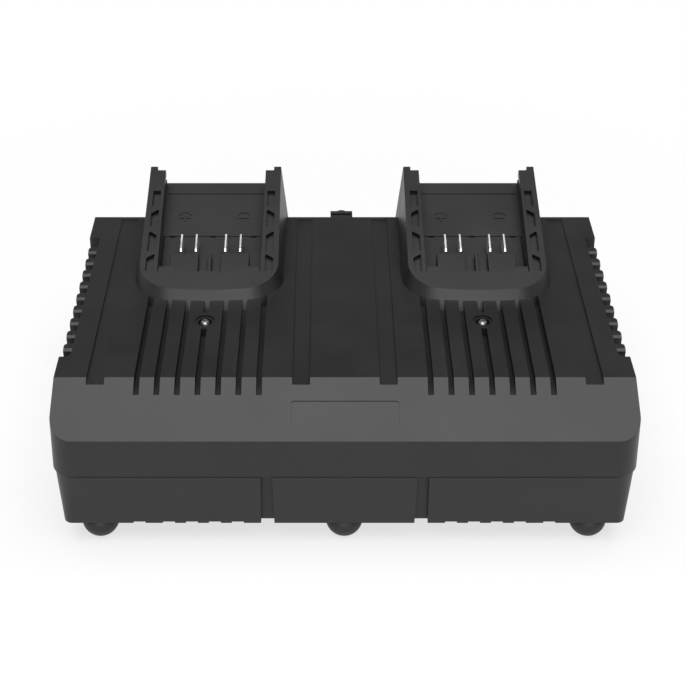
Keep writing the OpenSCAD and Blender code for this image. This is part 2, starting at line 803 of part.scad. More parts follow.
// Terminal block of one dock: floor plate, flange, raised plates and middle rib
module terminal_block(side) color("#303031") at_dock(side) difference() {
    half = channel_half - block_gap;
    start = bar_len + block_gap;
    len_l = block_end - block_gap - start;
    base = channel_deep + floor_t;
    union() {
        translate([-half, start, -base]) cube([2 * half, len_l, floor_t]);
        flange_half = core_half - 2 * block_gap;
        flange_start = core_start + block_flange;
        translate([-flange_half, flange_start, -block_low])
            cube([2 * flange_half, block_end + wall - flange_start, block_flange]);
        for (s = sides()) {
            translate([s * (plate_in + plate_out) / 2 - (plate_out - plate_in) / 2, start,
                -base])
                cube([plate_out - plate_in, plate_end - start, base - plate_drop]);
            foot_w = half - plate_out + over;
            translate([s * (half - foot_w / 2) - foot_w / 2, start, -base])
                cube([foot_w, plate_foot_end - start, base - plate_drop]);
        }
        translate([-plate_in - over, start, -base])
            cube([2 * (plate_in + over), plate_end - start, base - mid_drop]);
        translate([-rib_half, start, -base])
            cube([2 * rib_half, plate_end - start, base - plate_drop]);
    }
    for (s = sides()) {
        for (x = [blade_in_x, blade_out_x])
            translate([s * x - blade_t / 2 - touch, blade_start - blade_slot_fore,
                -block_low - over])
                cube([blade_t + 2 * touch, blade_slot_fore + blade_len + block_gap,
                    floor_t + block_flange + 2 * over]);
        translate([s * block_screw_x, block_screw_l, -block_low - over])
            cylinder(r = small_r + 2 * touch, h = block_flange + 2 * over);
    }
    for (x = [-notch_x, 0, notch_x])
        translate([x - notch_w / 2, block_end - block_gap - notch_in,
            -channel_deep - notch_in])
            cube([notch_w, notch_in + over, notch_in + over]);
}
terminal_block(-1);  // left_terminal_block
terminal_block(1);  // right_terminal_block

// Blade contact at x across a dock: blade, shoulder under the flange and solder tail
tab_h = 1.2;
tab_fore = 1.2;
tail_w = 4;
tail_h = 5;
blade_nose = 1.2;
tail_l = blade_start + blade_len / 2;
module contact(side, x) color("#d8d8d4") at_dock(side)
    across(x, blade_t) {
        low = -block_low - touch;
        polygon([[blade_start, low], [blade_start, -blade_drop - blade_nose],
            [blade_start + blade_nose, -blade_drop],
            [blade_start + blade_len - blade_nose, -blade_drop],
            [blade_start + blade_len, -blade_drop - blade_nose],
            [blade_start + blade_len, low], [blade_start + blade_len + tab_fore, low],
            [blade_start + blade_len + tab_fore, low - tab_h],
            [tail_l + tail_w / 2, low - tab_h], [tail_l + tail_w / 2, low - tab_h - tail_h],
            [tail_l - tail_w / 2, low - tab_h - tail_h], [tail_l - tail_w / 2, low - tab_h],
            [blade_start - tab_fore, low - tab_h], [blade_start - tab_fore, low]]);
    }
contact(-1, -blade_out_x);  // left_positive_contact
contact(-1, -blade_in_x);  // left_signal_contact
contact(-1, blade_in_x);  // left_thermistor_contact
contact(-1, blade_out_x);  // left_negative_contact
contact(1, -blade_out_x);  // right_positive_contact
contact(1, -blade_in_x);  // right_signal_contact
contact(1, blade_in_x);  // right_thermistor_contact
contact(1, blade_out_x);  // right_negative_contact

// A screw whose head sits on z = 0 with its shank along -Z
module screw(head_r, head_h, r, length) {
    cylinder(r = head_r, h = head_h);
    translate([0, 0, -length]) cylinder(r = r, h = length);
}

module block_screws() color("#9a9a9c")
    for (side = sides(), s = sides()) at_dock(side)
        translate([s * block_screw_x, block_screw_l, -block_low]) rotate([180, 0, 0])
            screw(small_head_r, small_head_h, small_r, block_flange + block_pilot - over);
block_screws();

// Rubber foot: a dome with a flat tip, a straight part and a stem through the floor
foot_tip_r = 4;
foot_dome_h = sqrt(pow(foot_r, 2) - pow(foot_tip_r, 2));
foot_head_h = 1.5;
module foot(i) color("#3a3a3b") translate([foot_spots()[i][0], foot_spots()[i][1], 0]) {
    rotate_extrude() {
        intersection() {
            translate([0, foot_dome_h]) circle(r = foot_r);
            square([foot_r, foot_dome_h]);
        }
        translate([0, foot_dome_h]) square([foot_r, foot_h - foot_dome_h]);
    }
    cylinder(r = foot_stem_r, h = floor_z + foot_head_h);
    translate([0, 0, floor_z]) cylinder(r = foot_stem_r + foot_head_h, h = foot_head_h);
}
foot(0);  // foot_front_left
foot(1);  // foot_front_middle
foot(2);  // foot_front_right
foot(3);  // foot_rear_left
foot(4);  // foot_rear_middle
foot(5);  // foot_rear_right

module top_screws() color("#b4b4b6")
    for (s = sides()) translate([s * bay_x, top_screw_y, top_z - sink_deep])
        screw(top_head_r, top_head_h, screw_r, top_screw_len);
top_screws();

module base_screws() color("#8c8c8e")
    for (s = sides(), c = case_screws)
        translate([s * c[0], c[1], tray_z + case_seat]) rotate([180, 0, 0])
            screw(case_head_r, case_head_h, screw_r,
                brow_z - tray_z - case_seat + case_pilot - case_head_h);
base_screws();

// Cord gland: threaded neck inside, a square key in the rear wall, collar, tapered
// core and square ribs
gland_collar_out = 2.2;
gland_collar_r = gland_r + gland_collar_out;
gland_collar_t = 2;
gland_in = 9;
gland_ribs = 4;
gland_rib_t = 3;
gland_nose = 4;
gland_face = back_at(gland_z - gland_collar_r);
gland_tip = rear_y + gland_reach;
nut_h = 5;
nut_out = 3;
nut_r = gland_neck_r + nut_out;
nut_sides = 6;
nut_face = back_at(gland_z + gland_collar_r) - wall - touch;
gland_tail = nut_face - gland_in;
// The bore grips the cord outside the collar and is wider within it
gland_relief_r = (gland_bore_r + gland_neck_r) / 2;
gland_grip = gland_face + gland_collar_t;
module cord_gland() color("#232324") translate([0, gland_face, gland_z])
    rotate([-90, 0, 0]) difference() {
        reach = gland_tip - gland_face;
        union() {
            translate([0, 0, gland_tail - gland_face])
                cylinder(r = gland_neck_r, h = gland_face - gland_tail);
            translate([-gland_neck_r, -gland_neck_r, nut_face - gland_face])
                cube([2 * gland_neck_r, 2 * gland_neck_r, gland_face - nut_face]);
            cylinder(r = gland_collar_r, h = gland_collar_t);
            cylinder(r1 = gland_r, r2 = gland_nose_r, h = reach);
            step = (reach - gland_nose - gland_rib_t - gland_collar_t) / gland_ribs;
            for (i = [1:gland_ribs])
                translate([-gland_rib_w / 2, -gland_rib_w / 2, gland_collar_t + i * step])
                    cube([gland_rib_w, gland_rib_w, gland_rib_t]);
        }
        translate([0, 0, -over]) cylinder(r = gland_bore_r, h = reach + 2 * over);
        translate([0, 0, gland_tail - gland_face - over])
            cylinder(r = gland_relief_r, h = gland_grip - gland_tail + over);
    }
cord_gland();

module gland_nut() color("#2f2f30") translate([0, nut_face - nut_h, gland_z])
    rotate([-90, 0, 0]) difference() {
        cylinder(r = nut_r, h = nut_h, $fn = nut_sides);
        translate([0, 0, -over]) cylinder(r = gland_neck_r + touch, h = nut_h + 2 * over);
    }
gland_nut();

module main_board() color("#1f5a3a") difference() {
    translate([-board_w / 2, board_y, board_z]) cube([board_w, board_d, board_t]);
    for (s = sides())
        translate([s * bay_x, top_screw_y, board_z - over])
            cylinder(r = pillar_r + wall / 2, h = board_t + 2 * over);
    for (p = board_spots())
        translate([p[0], p[1], board_z - over])
            cylinder(r = small_r + 2 * touch, h = board_t + 2 * over);
}
main_board();

module board_screws() color("#a8a8aa")
    for (p = board_spots()) translate([p[0], p[1], board_top])
        screw(small_head_r, small_head_h, small_r, board_t + standoff_h - over);
board_screws();

// Transformers: a ferrite core with two windows and a coil round its middle leg
core_w = 36;
core_d = 16;
core_leg = 5;
core_mid = 10;
core_in = 41.6;
core_x = bay_x - core_in;
core_back = 88;
core_y = edge_y + core_back;
coil_gap = 0.3;
coil_out = 7;
window_w = (core_w - 2 * core_leg - core_mid) / 2;
module transformer_core(side) color("#4a4a4c") difference() {
    translate([side * core_x - core_w / 2, core_y - core_d / 2, board_top])
        cube([core_w, core_d, core_h]);
    for (s = sides())
        translate([side * core_x + s * (core_mid + window_w) / 2 - window_w / 2,
            core_y - core_d / 2 - over, board_top + core_leg])
            cube([window_w, core_d + 2 * over, core_h - 2 * core_leg]);
}
transformer_core(-1);  // left_transformer_core
transformer_core(1);  // right_transformer_core

module transformer_coil(side) color("#c9a227") {
    w = core_mid + 2 * (window_w - coil_gap);
    d = core_d + 2 * coil_out;
    h = core_h - 2 * (core_leg + coil_gap);
    translate([side * core_x, core_y, board_top + core_leg + coil_gap]) difference() {
        translate([-w / 2, -d / 2, 0]) cube([w, d, h]);
        translate([-core_mid / 2 - coil_gap, -core_d / 2 - coil_gap, -over])
            cube([core_mid + 2 * coil_gap, core_d + 2 * coil_gap, h + 2 * over]);
    }
}
transformer_coil(-1);  // left_transformer_coil
transformer_coil(1);  // right_transformer_coil

bulk_r = 9;
bulk_x = 11;
bulk_back = 120;
bulk_y = edge_y + bulk_back;
module mains_capacitors() color("#20242c")
    for (s = sides()) translate([s * bulk_x, bulk_y, board_top])
        cylinder(r = bulk_r, h = bulk_h);
mains_capacitors();

can_r = 5;
can_h = 22;
can_in = 8;
can_x = board_w / 2 - can_in;
can_back = 104;
can_y = edge_y + can_back;
can_pitch = 12;
module output_capacitors() color("#2a3140")
    for (s = sides(), i = [0, 1]) translate([s * can_x, can_y + i * can_pitch, board_top])
        cylinder(r = can_r, h = can_h);
output_capacitors();

choke_r = 15;
choke_in_r = 7;
choke_h = 12;
choke_back = 36;
choke_y = edge_y + choke_back;
module line_choke() color("#7a4a24") translate([0, choke_y, board_top])
    rotate_extrude() translate([choke_in_r, 0]) square([choke_r - choke_in_r, choke_h]);
line_choke();

fuse_r = 2.6;
fuse_cap_r = 3.1;
fuse_len = 20;
fuse_cap = 5;
fuse_x = 40;
fuse_back = 24;
fuse_y = edge_y + fuse_back;
module mains_fuse() color("#c8c4b8")
    translate([fuse_x - fuse_len / 2, fuse_y, board_top + fuse_cap_r]) rotate([0, 90, 0]) {
        cylinder(r = fuse_r, h = fuse_len);
        for (z = [0, fuse_len - fuse_cap]) translate([0, 0, z])
            cylinder(r = fuse_cap_r, h = fuse_cap);
    }
mains_fuse();

// Heat sinks: a web along X with level fins on both sides
sink_len = 40;
sink_web = 2.5;
sink_fin = 9;
sink_fin_t = 1.4;
sink_fins = 5;
module heat_sink(side) color("#8e9296") across(side * bay_x, sink_len) union() {
    translate([core_y - sink_web / 2, board_top]) square([sink_web, sink_h]);
    for (i = [0:sink_fins - 1])
        translate([core_y - sink_fin - sink_web / 2,
            board_top + (i + 1) * (sink_h - sink_fin_t) / sink_fins])
            square([2 * sink_fin + sink_web, sink_fin_t]);
}
heat_sink(-1);  // left_heat_sink
heat_sink(1);  // right_heat_sink

// Leads from the solder tails of a dock down to the main board
lead_r = 0.9;
module dock_leads(side) color("#8a1c1c") {
    foot_n = -block_low - touch - tab_h - tail_h;
    spot = dock_at(tail_l, foot_n);
    top = dock_at(tail_l - tail_w / 2, foot_n)[1] - touch;
    for (x = [-blade_out_x, -blade_in_x, blade_in_x, blade_out_x])
        translate([side * bay_x + x, spot[0], board_top])
            cylinder(r = lead_r, h = top - board_top);
}
dock_leads(-1);  // left_dock_leads
dock_leads(1);  // right_dock_leads

// Fan, drawn with its axis along Z and then laid along X
fan_rim = 1.6;
fan_bore = fan_w / 2 - fan_rim;
fan_hole_in = 5;
fan_hole_r = 2.1;
fan_hub_r = 11;
fan_cup_t = 1.2;
fan_floor = 2.5;
fan_clear = 0.8;
bearing_gap = 0.05;
bearing_r = 3.2;
bearing_h = 9;
strut_n = 4;
strut_w = 4;
module fan_placed() translate([fan_x, fan_y, fan_z]) rotate([0, 90, 0]) children();

module fan_frame() color("#1d1d1e") fan_placed() difference() {
    hole_at = fan_w / 2 - fan_hole_in;
    union() {
        difference() {
            translate([-fan_w / 2, -fan_w / 2, 0]) cube([fan_w, fan_w, fan_t]);
            translate([0, 0, -over]) cylinder(r = fan_bore, h = fan_t + 2 * over);
        }
        intersection() {
            cylinder(r = fan_bore + over, h = fan_floor);
            union() {
                cylinder(r = fan_hub_r, h = fan_floor);
                for (i = [0:strut_n - 1]) rotate(360 * i / strut_n)
                    translate([0, -strut_w / 2, 0]) cube([fan_w, strut_w, fan_floor]);
            }
        }
        cylinder(r = bearing_r, h = fan_floor + bearing_h);
    }
    translate([0, 0, -over])
        cylinder(r = shaft_r + bearing_gap, h = fan_floor + bearing_h + 2 * over);
    for (a = sides(), b = sides())
        translate([a * hole_at, b * hole_at, -over])
            cylinder(r = fan_hole_r, h = fan_t + 2 * over);
}
fan_frame();

stator_r = 8;
module fan_stator() color("#b06a2a") fan_placed() translate([0, 0, fan_floor]) difference() {
    cylinder(r = stator_r, h = bearing_h - fan_clear);
    translate([0, 0, -over]) cylinder(r = bearing_r + touch, h = bearing_h + 2 * over);
}
fan_stator();

// Rotor: a cup with its shaft, and blades cut from slanted slabs
fan_pitch = 38;
fan_blade_t = 1.2;
fan_blade_w = 15;
module fan_rotor() color("#2c2c2e") fan_placed() {
    low = fan_floor + fan_clear;
    top = fan_t - fan_clear;
    in = fan_hub_r - fan_cup_t;
    difference() {
        translate([0, 0, low]) cylinder(r = fan_hub_r, h = top - low);
        translate([0, 0, low - over]) cylinder(r = in, h = top - low - fan_cup_t + over);
    }
    translate([0, 0, fan_clear]) cylinder(r = shaft_r, h = top - 2 * fan_clear);
    for (i = [0:fan_n - 1]) rotate(360 * i / fan_n) intersection() {
        difference() {
            translate([0, 0, low]) cylinder(r = fan_bore - fan_clear, h = top - low);
            translate([0, 0, low - over])
                cylinder(r = fan_hub_r - fan_cup_t / 2, h = top - low + 2 * over);
        }
        translate([fan_bore / 2, 0, (low + top) / 2]) rotate([fan_pitch, 0, 0])
            cube([fan_bore, fan_blade_w, fan_blade_t], center = true);
    }
}
fan_rotor();
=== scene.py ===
# A two-bay charger for slide-on tool batteries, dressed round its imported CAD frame.
# Sections follow the charger as it is put together, and the floor, lights and
# camera come last.
import json
import math

import bmesh
import bpy
from mathutils import Matrix, Vector


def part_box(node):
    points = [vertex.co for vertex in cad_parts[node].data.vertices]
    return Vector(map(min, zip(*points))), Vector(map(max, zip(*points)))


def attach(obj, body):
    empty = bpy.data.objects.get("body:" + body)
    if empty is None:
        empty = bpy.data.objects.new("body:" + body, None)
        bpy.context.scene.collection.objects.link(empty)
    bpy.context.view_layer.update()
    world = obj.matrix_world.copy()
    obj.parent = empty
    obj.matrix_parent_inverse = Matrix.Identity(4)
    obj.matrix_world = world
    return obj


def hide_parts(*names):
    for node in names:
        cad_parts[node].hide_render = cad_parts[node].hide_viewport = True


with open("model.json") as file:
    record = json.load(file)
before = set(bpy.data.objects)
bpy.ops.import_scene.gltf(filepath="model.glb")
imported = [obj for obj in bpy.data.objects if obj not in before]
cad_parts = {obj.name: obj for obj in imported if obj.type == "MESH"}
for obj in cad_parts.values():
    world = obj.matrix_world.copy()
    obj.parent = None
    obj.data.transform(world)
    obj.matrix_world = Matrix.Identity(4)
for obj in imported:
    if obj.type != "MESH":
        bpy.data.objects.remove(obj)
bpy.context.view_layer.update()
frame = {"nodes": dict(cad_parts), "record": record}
nodes = frame["nodes"]

# Housings: two shells of black ABS, injection moulded in tools whose cavities were
# spark eroded, so their outsides carry a fine even grain. The shut-off edges are
# softly rounded, and the strips in the top run out towards the rear edge.
HOUSING_BLACK = "#212121"
HOUSING_SCUFF = "#262626"
HOUSING_EDGE = 0.0005
HOUSING_GRAIN_MM = 0.45
MARBLING_MM = 38
GRAIN_DEEP_M = 0.00006
POLYMER_IOR = 1.44
SAME_CORNER_M = 2e-6
SAME_FACE_DEG = 0.05
STRIP_END_Y = 0.07508
STRIP_FLOOR_Z = 0.0862
STRIP_RISE = 0.0015
NEAR = 0.00005


def colour(hexa):
    """Turns an sRGB hex value into the linear colour that a shader takes."""
    parts = [int(hexa[i:i + 2], 16) / 255 for i in (1, 3, 5)]
    return tuple(c / 12.92 if c <= 0.04045 else ((c + 0.055) / 1.055) ** 2.4
                 for c in parts) + (1.0,)


def add(tree, kind, settings=None, **links):
    """Adds a node with its settings, and gives each input a value or a link."""
    node = tree.nodes.new(kind)
    for name, value in (settings or {}).items():
        setattr(node, name, value)
    for name, value in links.items():
        socket = node.inputs[int(name[1:])] if name[0] == "_" else node.inputs[
            name.replace("__", " ")]
        if isinstance(value, (list, bpy.types.NodeSocket)):
            for source in value if isinstance(value, list) else [value]:
                tree.links.new(source, socket)
        else:
            socket.default_value = value
    return node


def ranged(tree, value, given, wanted, settings=None):
    """Carries a value over from a given range to a wanted one."""
    return add(tree, "ShaderNodeMapRange", settings, _0=value, _1=given[0], _2=given[1],
               _3=wanted[0], _4=wanted[1]).outputs[0]


def new_material(name):
    """A new material, with its node tree and its surface shader."""
    material = bpy.data.materials.new(name)
    material.use_nodes = True
    return material, material.node_tree, material.node_tree.nodes["Principled BSDF"]


def in_scene(name, data):
    """Puts a mesh, a light or a camera in the scene."""
    thing = bpy.data.objects.new(name, data)
    bpy.context.scene.collection.objects.link(thing)
    return thing


def settle(piece, node, body="housing"):
    """Lets a finished piece stand for a CAD node."""
    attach(piece, body)
    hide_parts(node)


def moulded_plastic(name, base, scuff, grain_mm, rough, bump):
    """Moulded polymer with a spark-eroded grain, faintly marbled by handling."""
    material, tree, surface = new_material(name)
    place = add(tree, "ShaderNodeTexCoord").outputs["Object"]
    grain = add(tree, "ShaderNodeTexNoise", Vector=place, Scale=1000 / grain_mm,
                Detail=2.0, Roughness=0.6)
    cloud = add(tree, "ShaderNodeTexNoise", Vector=place, Scale=1000 / MARBLING_MM,
                Detail=4.0, Roughness=0.55).outputs["Fac"]
    tone = ranged(tree, cloud, (0.35, 0.75), (0.0, 1.0))
    paint = add(tree, "ShaderNodeMix", {"data_type": "RGBA"}, _0=tone,
                _6=colour(base), _7=colour(scuff))
    tree.links.new(paint.outputs[2], surface.inputs["Base Color"])
    sheen = ranged(tree, cloud, (0.3, 0.7), (rough - 0.03, rough + 0.04))
    tree.links.new(sheen, surface.inputs["Roughness"])
    relief = add(tree, "ShaderNodeBump", Strength=bump, Distance=GRAIN_DEEP_M,
                 Height=grain.outputs["Fac"])
    tree.links.new(relief.outputs[0], surface.inputs["Normal"])
    surface.inputs["IOR"].default_value = POLYMER_IOR
    return material


def softened(node, name, edge, angle=28):
    """A copy of a CAD node with its doubles merged and its sharp edges rolled over."""
    mesh = nodes[node].data.copy()
    build = bmesh.new()
    build.from_mesh(mesh)
    bmesh.ops.remove_doubles(build, verts=build.verts, dist=SAME_CORNER_M)
    bmesh.ops.dissolve_limit(build, angle_limit=math.radians(SAME_FACE_DEG),
                             verts=build.verts, edges=build.edges,
                             use_dissolve_boundaries=False)
    bmesh.ops.connect_verts_concave(build, faces=build.faces)
    build.to_mesh(mesh)
    build.free()
    mesh.materials.clear()
    piece = in_scene(name, mesh)
    if edge:
        bevel = piece.modifiers.new("rolled edges", "BEVEL")
        bevel.width = edge
        bevel.segments = 2
        bevel.limit_method = "ANGLE"
        bevel.angle_limit = math.radians(angle)
        bevel.use_clamp_overlap = True
        bevel.harden_normals = False
        bevel.miter_outer = "MITER_ARC"
        even = piece.modifiers.new("flat faces kept flat", "WEIGHTED_NORMAL")
        even.keep_sharp = True
        even.weight = 90
    mesh.shade_smooth()
    mesh.set_sharp_from_angle(angle=math.radians(angle))
    return piece


housing_plastic = moulded_plastic("black ABS, spark-eroded grain", HOUSING_BLACK,
                                  HOUSING_SCUFF, grain_mm=HOUSING_GRAIN_MM, rough=0.42,
                                  bump=0.3)
for node, name in (("upper_housing", "top_shell"), ("lower_housing", "tray_shell")):
    shell = softened(node, name, HOUSING_EDGE)
    if node == "upper_housing":
        for vertex in shell.data.vertices:
            _, y, z = vertex.co
            if abs(y - STRIP_END_Y) < NEAR and abs(z - STRIP_FLOOR_Z) < NEAR:
                vertex.co.z += STRIP_RISE
    shell.data.materials.append(housing_plastic)
    settle(shell, node)

# Terminal blocks: one glass-filled nylon moulding in each dock, slightly smoother than
# the housing, clamped under the dock's floor by two screws. The plates' fronts are set
# back along the dock.
BLOCK_EDGE = 0.0003
PLATE_SETBACK = 0.0005
block_plastic = moulded_plastic("glass-filled nylon, moulded", "#212121", "#222222",
                                grain_mm=0.3, rough=0.4, bump=0.25)
slide = next(m for m in frame["record"]["mounts"] if m["name"] == "left_dock")
dock_turn = Matrix.Rotation(math.atan2(slide["axis"][2], slide["axis"][1]), 4, "X")
for side in ("left", "right"):
    block = softened(side + "_terminal_block", side + "_block", BLOCK_EDGE)
    flat = [dock_turn.inverted() @ vertex.co for vertex in block.data.vertices]
    plates_top = max(place.z for place in flat)
    plates_front = min(place.y for place in flat if place.z > plates_top - NEAR)
    for vertex, place in zip(block.data.vertices, flat):
        if abs(place.y - plates_front) < NEAR:
            vertex.co += dock_turn @ Vector((0, PLATE_SETBACK, 0))
    block.data.materials.append(block_plastic)
    settle(block, side + "_terminal_block")

# Contacts: stamped brass strip with coined edges, plated with satin tin, so that their
# tops catch the softbox and their flanks mirror the black dock.
BLADE_EDGE = 0.00018


def plain_metal(name, base, rough, streak_mm):
    """Metal with fine streaks from rolling or turning."""
    material, tree, surface = new_material(name)
    place = add(tree, "ShaderNodeTexCoord").outputs["Object"]
    streaks = add(tree, "ShaderNodeTexNoise", Vector=place, Scale=1000 / streak_mm,
                  Detail=3.0)
    tone = ranged(tree, streaks.outputs["Fac"], (0.3, 0.7),
                  (rough - 0.06, rough + 0.08))
    tree.links.new(tone, surface.inputs["Roughness"])
    surface.inputs["Base Color"].default_value = colour(base)
    surface.inputs["Metallic"].default_value = 1.0
    return material


tinned = plain_metal("satin tin on brass strip", "#eeede8", rough=0.36, streak_mm=8)
for node in [n for n in nodes if n.endswith("_contact")]:
    blade = softened(node, node.replace("_contact", "_blade"), BLADE_EDGE)
    blade.data.materials.append(tinned)
    settle(blade, node)

# Feet and gland: moulded rubber, dull, with a little bloom. The feet are buttons with a
# round underside, and only the gland has edges that are rolled over.
GLAND_EDGE = 0.0004
rubber = moulded_plastic("moulded rubber, dull", "#222223", "#2b2b2c", grain_mm=0.8,
                         rough=0.55, bump=0.3)
for node in [n for n in nodes if n.startswith("foot_")] + ["cord_gland"]:
    is_gland = node == "cord_gland"
    pad = softened(node, node + "_rubber", GLAND_EDGE if is_gland else 0.0)
    pad.data.materials.append(rubber)
    settle(pad, node)

# Screws: thread-forming screws of zinc-plated steel, with pan heads and a cross recess.
# Shares are of the head's height, the head's radius, and the shank's radius and length.
SCREW_WALL = 0.5
SCREW_DOME = ((0.3, 0.86), (0.2, 0.6))
RECESS_LONG = 1.15
RECESS_WIDE = 0.27
THREAD_ROOT = 0.78
THREAD_TOOTH = 0.22
THREAD_LONG = 0.96


def growth(name, lengths):
    """An empty Geometry Nodes tree with named inputs for its sizes."""
    tree = bpy.data.node_groups.new(name, "GeometryNodeTree")
    for label, way, kind in (("Places", "INPUT", "Geometry"),
                             *((label, "INPUT", "Float") for label in lengths),
                             ("Result", "OUTPUT", "Geometry")):
        tree.interface.new_socket(label, in_out=way, socket_type="NodeSocket" + kind)
    return tree, add(tree, "NodeGroupInput").outputs


def set_down(tree, places, shape, material, accents=(), **turn):
    """Ends a tree: its shape at every place, made real, in its material and accents."""
    row = add(tree, "GeometryNodeInstanceOnPoints", Points=places, Instance=shape,
              **turn)
    real = add(tree, "GeometryNodeRealizeInstances", Geometry=row.outputs[0])
    done = add(tree, "GeometryNodeSetMaterial", Geometry=real.outputs[0],
               Material=material)
    for selection, accent in accents:
        done = add(tree, "GeometryNodeSetMaterial", Geometry=done.outputs[0],
                   Selection=selection, Material=accent)
    add(tree, "NodeGroupOutput", _0=done.outputs[0])


def grown(name, tree, places, sizes, turn=None, sharp=35):
    """Runs a tree on a cloud of places, and keeps what it grows as a plain mesh."""
    cloud = bpy.data.meshes.new(name)
    cloud.from_pydata([tuple(place) for place in places], [], [])
    piece = in_scene(name, cloud)
    growing = piece.modifiers.new("growing", "NODES")
    growing.node_group = tree
    for item in tree.interface.items_tree:
        if item.in_out == "INPUT" and item.name in sizes:
            growing[item.identifier] = sizes[item.name]
    ready = piece.evaluated_get(bpy.context.evaluated_depsgraph_get())
    mesh = bpy.data.meshes.new_from_object(ready)
    piece.modifiers.remove(growing)
    piece.data = mesh
    build = bmesh.new()
    build.from_mesh(mesh)
    bmesh.ops.recalc_face_normals(build, faces=build.faces)
    build.to_mesh(mesh)
    build.free()
    if turn:
        mesh.transform(turn)
    mesh.shade_smooth()
    mesh.set_sharp_from_angle(angle=math.radians(sharp))
    return piece


def solids_of(node, turn=Matrix()):
    """The lowest and highest corner of each solid of a CAD node, after a turn."""
    build = bmesh.new()
    build.from_mesh(nodes[node].data)
    bmesh.ops.transform(build, matrix=turn, verts=build.verts)
    bmesh.ops.remove_doubles(build, verts=build.verts, dist=SAME_CORNER_M)
    boxes, left = [], set(build.verts)
    while left:
        island = front = {left.pop()}
        while front:
            front = {e.other_vert(v) for v in front for e in v.link_edges} - island
            island = island | front
        left -= island
        boxes.append(tuple(Vector([pick(v.co[k] for v in island) for k in range(3)])
                           for pick in (min, max)))
    build.free()
    return sorted(boxes, key=lambda box: tuple(round(c, 4) for c in box[0]))


def times(tree, value, factor):
    """Multiplies a value by a factor."""
    return add(tree, "ShaderNodeMath", {"operation": "MULTIPLY"}, _0=value,
               _1=factor).outputs[0]


def raised(tree, solid, crown, height, steps):
    """Extrudes a solid's crown by shares of a height, and scales it after each."""
    for rise, scale in steps:
        pull = add(tree, "GeometryNodeExtrudeMesh", Mesh=solid, Selection=crown,
                   Offset__Scale=times(tree, height, rise), Individual=False)
        crown = pull.outputs["Top"]
        solid = add(tree, "GeometryNodeScaleElements", Geometry=pull.outputs[0],
                    Selection=crown, Scale=scale).outputs[0]
    return solid, crown


zinc = plain_metal("zinc-plated steel", "#b9b9b8", rough=0.42, streak_mm=0.8)
tree, size = growth("pan-head screw", ["Head radius", "Head height", "Shank radius",
                                       "Shank length", "Pitch"])
lift = add(tree, "ShaderNodeCombineXYZ", Z=times(tree, size["Head height"],
                                                 SCREW_WALL / 2))
blank = add(tree, "GeometryNodeMeshCylinder", {"fill_type": "NGON"}, Vertices=28,
            Radius=size["Head radius"],
            Depth=times(tree, size["Head height"], SCREW_WALL))
head = add(tree, "GeometryNodeTransform", Geometry=blank.outputs["Mesh"],
           Translation=lift.outputs[0]).outputs[0]
head, _ = raised(tree, head, blank.outputs["Top"], size["Head height"], SCREW_DOME)
arm_l = times(tree, size["Head radius"], RECESS_LONG)
arm_w = times(tree, size["Head radius"], RECESS_WIDE)
high = add(tree, "ShaderNodeCombineXYZ", Z=size["Head height"])
arms = []
for way in (("X", "Y"), ("Y", "X")):
    bar = add(tree, "ShaderNodeCombineXYZ", Z=size["Head height"],
              **{way[0]: arm_l, way[1]: arm_w})
    cube = add(tree, "GeometryNodeMeshCube", Size=bar.outputs[0])
    arms.append(add(tree, "GeometryNodeTransform", Geometry=cube.outputs[0],
                    Translation=high.outputs[0]).outputs[0])
recess = add(tree, "GeometryNodeMeshBoolean",
             {"operation": "DIFFERENCE", "solver": "EXACT"}, _0=head, _1=arms)
root_r = times(tree, size["Shank radius"], THREAD_ROOT)
down = add(tree, "ShaderNodeCombineXYZ", Z=times(tree, size["Shank length"], -0.5))
core = add(tree, "GeometryNodeMeshCylinder", {"fill_type": "NGON"}, Vertices=20,
           Radius=root_r, Depth=size["Shank length"])
shank = add(tree, "GeometryNodeTransform", Geometry=core.outputs["Mesh"],
            Translation=down.outputs[0])
turns = add(tree, "ShaderNodeMath", {"operation": "DIVIDE"}, _0=size["Shank length"],
            _1=size["Pitch"])
helix = add(tree, "GeometryNodeCurveSpiral", Resolution=14, Rotations=turns.outputs[0],
            Start__Radius=root_r, End__Radius=root_r,
            Height=times(tree, size["Shank length"], -THREAD_LONG))
tooth = add(tree, "GeometryNodeCurvePrimitiveCircle", Resolution=4,
            Radius=times(tree, size["Shank radius"], THREAD_TOOTH))
thread = add(tree, "GeometryNodeCurveToMesh", Curve=helix.outputs[0],
             Profile__Curve=tooth.outputs[0], Fill__Caps=True)
whole = add(tree, "GeometryNodeJoinGeometry",
            _0=[recess.outputs[0], shank.outputs[0], thread.outputs[0]])
set_down(tree, size["Places"], whole.outputs[0], zinc)

# Each set: node, height of its heads in the CAD model and as made here, radius and
# pitch of its thread, whether its heads look up, and the turn of its frame
for node, seat, tall, shank_r, pitch, heads_up, turn in (
        ("top_screws", 0.0022, 0.0054, 0.0015, 0.0014, True, Matrix()),
        ("base_screws", 0.0021, 0.0021, 0.0015, 0.0014, False, Matrix()),
        ("block_screws", 0.0014, 0.0014, 0.0012, 0.001, False, dock_turn),
        ("board_screws", 0.0014, 0.0014, 0.0012, 0.001, True, Matrix())):
    boxes = solids_of(node, turn.inverted())
    flip = Matrix() if heads_up else Matrix.Rotation(math.pi, 4, "X")
    places = [flip @ Vector(((low.x + high.x) / 2, (low.y + high.y) / 2,
                             high.z - seat if heads_up else low.z + seat))
              for low, high in boxes]
    low, high = boxes[0]
    screws = grown(node + "_zinc", tree, places,
                   {"Head radius": (high.x - low.x) / 2, "Head height": tall,
                    "Shank radius": shank_r, "Shank length": high.z - low.z - seat,
                    "Pitch": pitch}, turn @ flip)
    settle(screws, node)

